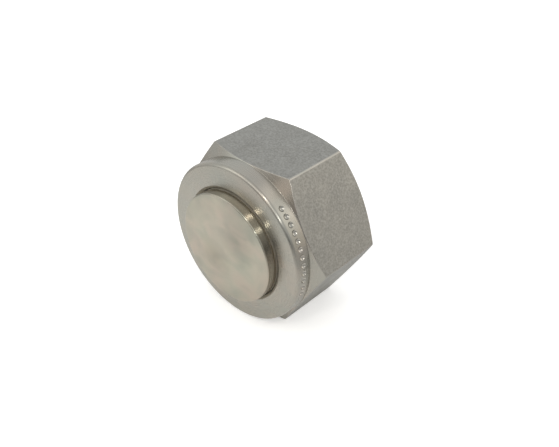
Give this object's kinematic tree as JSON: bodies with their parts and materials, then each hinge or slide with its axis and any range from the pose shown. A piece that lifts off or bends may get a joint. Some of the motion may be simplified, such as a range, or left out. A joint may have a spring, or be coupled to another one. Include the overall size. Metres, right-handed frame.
{
  "type": "threaded protection cap",
  "caption": "Hexagon union nut with a collar, closed by a solid blanking plug that seats on its inner cone, for capping a threaded tube fitting.",
  "frame": {"origin": "centre of the thread's mouth, in the plane of the nut's open end face", "axes": "+Y along the turning axis, out of the thread's mouth; -Y towards the collar and the plug's tail; +Z is the normal of the top wrench flat, so the nut lies on the opposite flat; corners of the hexagon are at +X and -X"},
  "size_m": [0.0328, 0.0196, 0.0286],
  "materials": {
    "nut_steel": "bead-blasted wrench flats with bright turned collar and cones",
    "plug_steel": "fine turned satin face with a polished side"
  },
  "bodies": {
    "root": {"hex_nut": "nut_steel", "plug": "plug_steel"}
  },
  "joints": []
}
